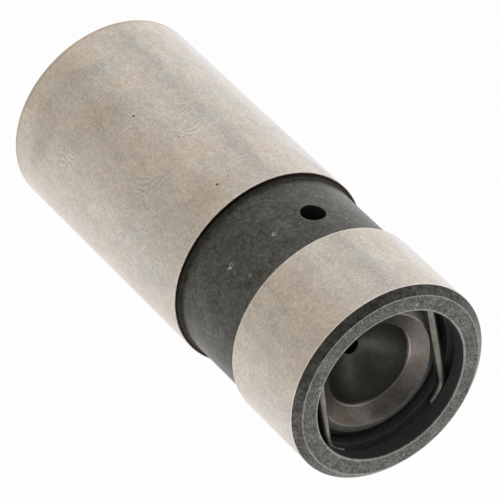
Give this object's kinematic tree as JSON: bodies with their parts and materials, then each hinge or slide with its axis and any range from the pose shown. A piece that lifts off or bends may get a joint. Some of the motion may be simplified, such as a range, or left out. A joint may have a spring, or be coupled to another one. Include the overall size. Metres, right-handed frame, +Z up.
{
  "type": "hydraulic valve lifter",
  "caption": "Flat-foot hydraulic tappet: ground body with an oil band, sliding plunger, check valve and pushrod socket held by a wire ring.",
  "frame": {"origin": "centre of the flat cam foot, on the surface the lifter stands on", "axes": "+Z up the lifter's axis towards the open pushrod end; the oil hole in the band faces -Y"},
  "size_m": [0.0214, 0.0214, 0.0518],
  "materials": {
    "ground_iron": "ground satin lands, black oil band and rim",
    "hardened_steel": "dark turned satin",
    "bright_steel": "fine ground",
    "spring_wire": "drawn wire"
  },
  "bodies": {
    "body": {"lifter_body": "ground_iron", "retainer_ring": "spring_wire", "plunger_spring": "spring_wire"},
    "plunger_group": {"plunger": "bright_steel", "pushrod_seat": "hardened_steel", "metering_disc": "bright_steel", "check_valve_cage": "bright_steel", "check_ball_spring": "spring_wire"},
    "check_ball": {"check_ball": "bright_steel"}
  },
  "joints": [
    {"name": "plunger_slide", "type": "slide", "parent": "body", "child": "plunger_group", "axis": [0, 0, 1], "range_m": [-0.0038, 0], "stiffness_N_per_m": 2500, "springref_m": 0.004, "deforming": ["plunger_spring"]},
    {"name": "check_ball_lift", "type": "slide", "parent": "plunger_group", "child": "check_ball", "axis": [0, 0, 1], "range_m": [-0.0003, 0], "stiffness_N_per_m": 60, "springref_m": 0.0005, "deforming": ["check_ball_spring"]}
  ]
}
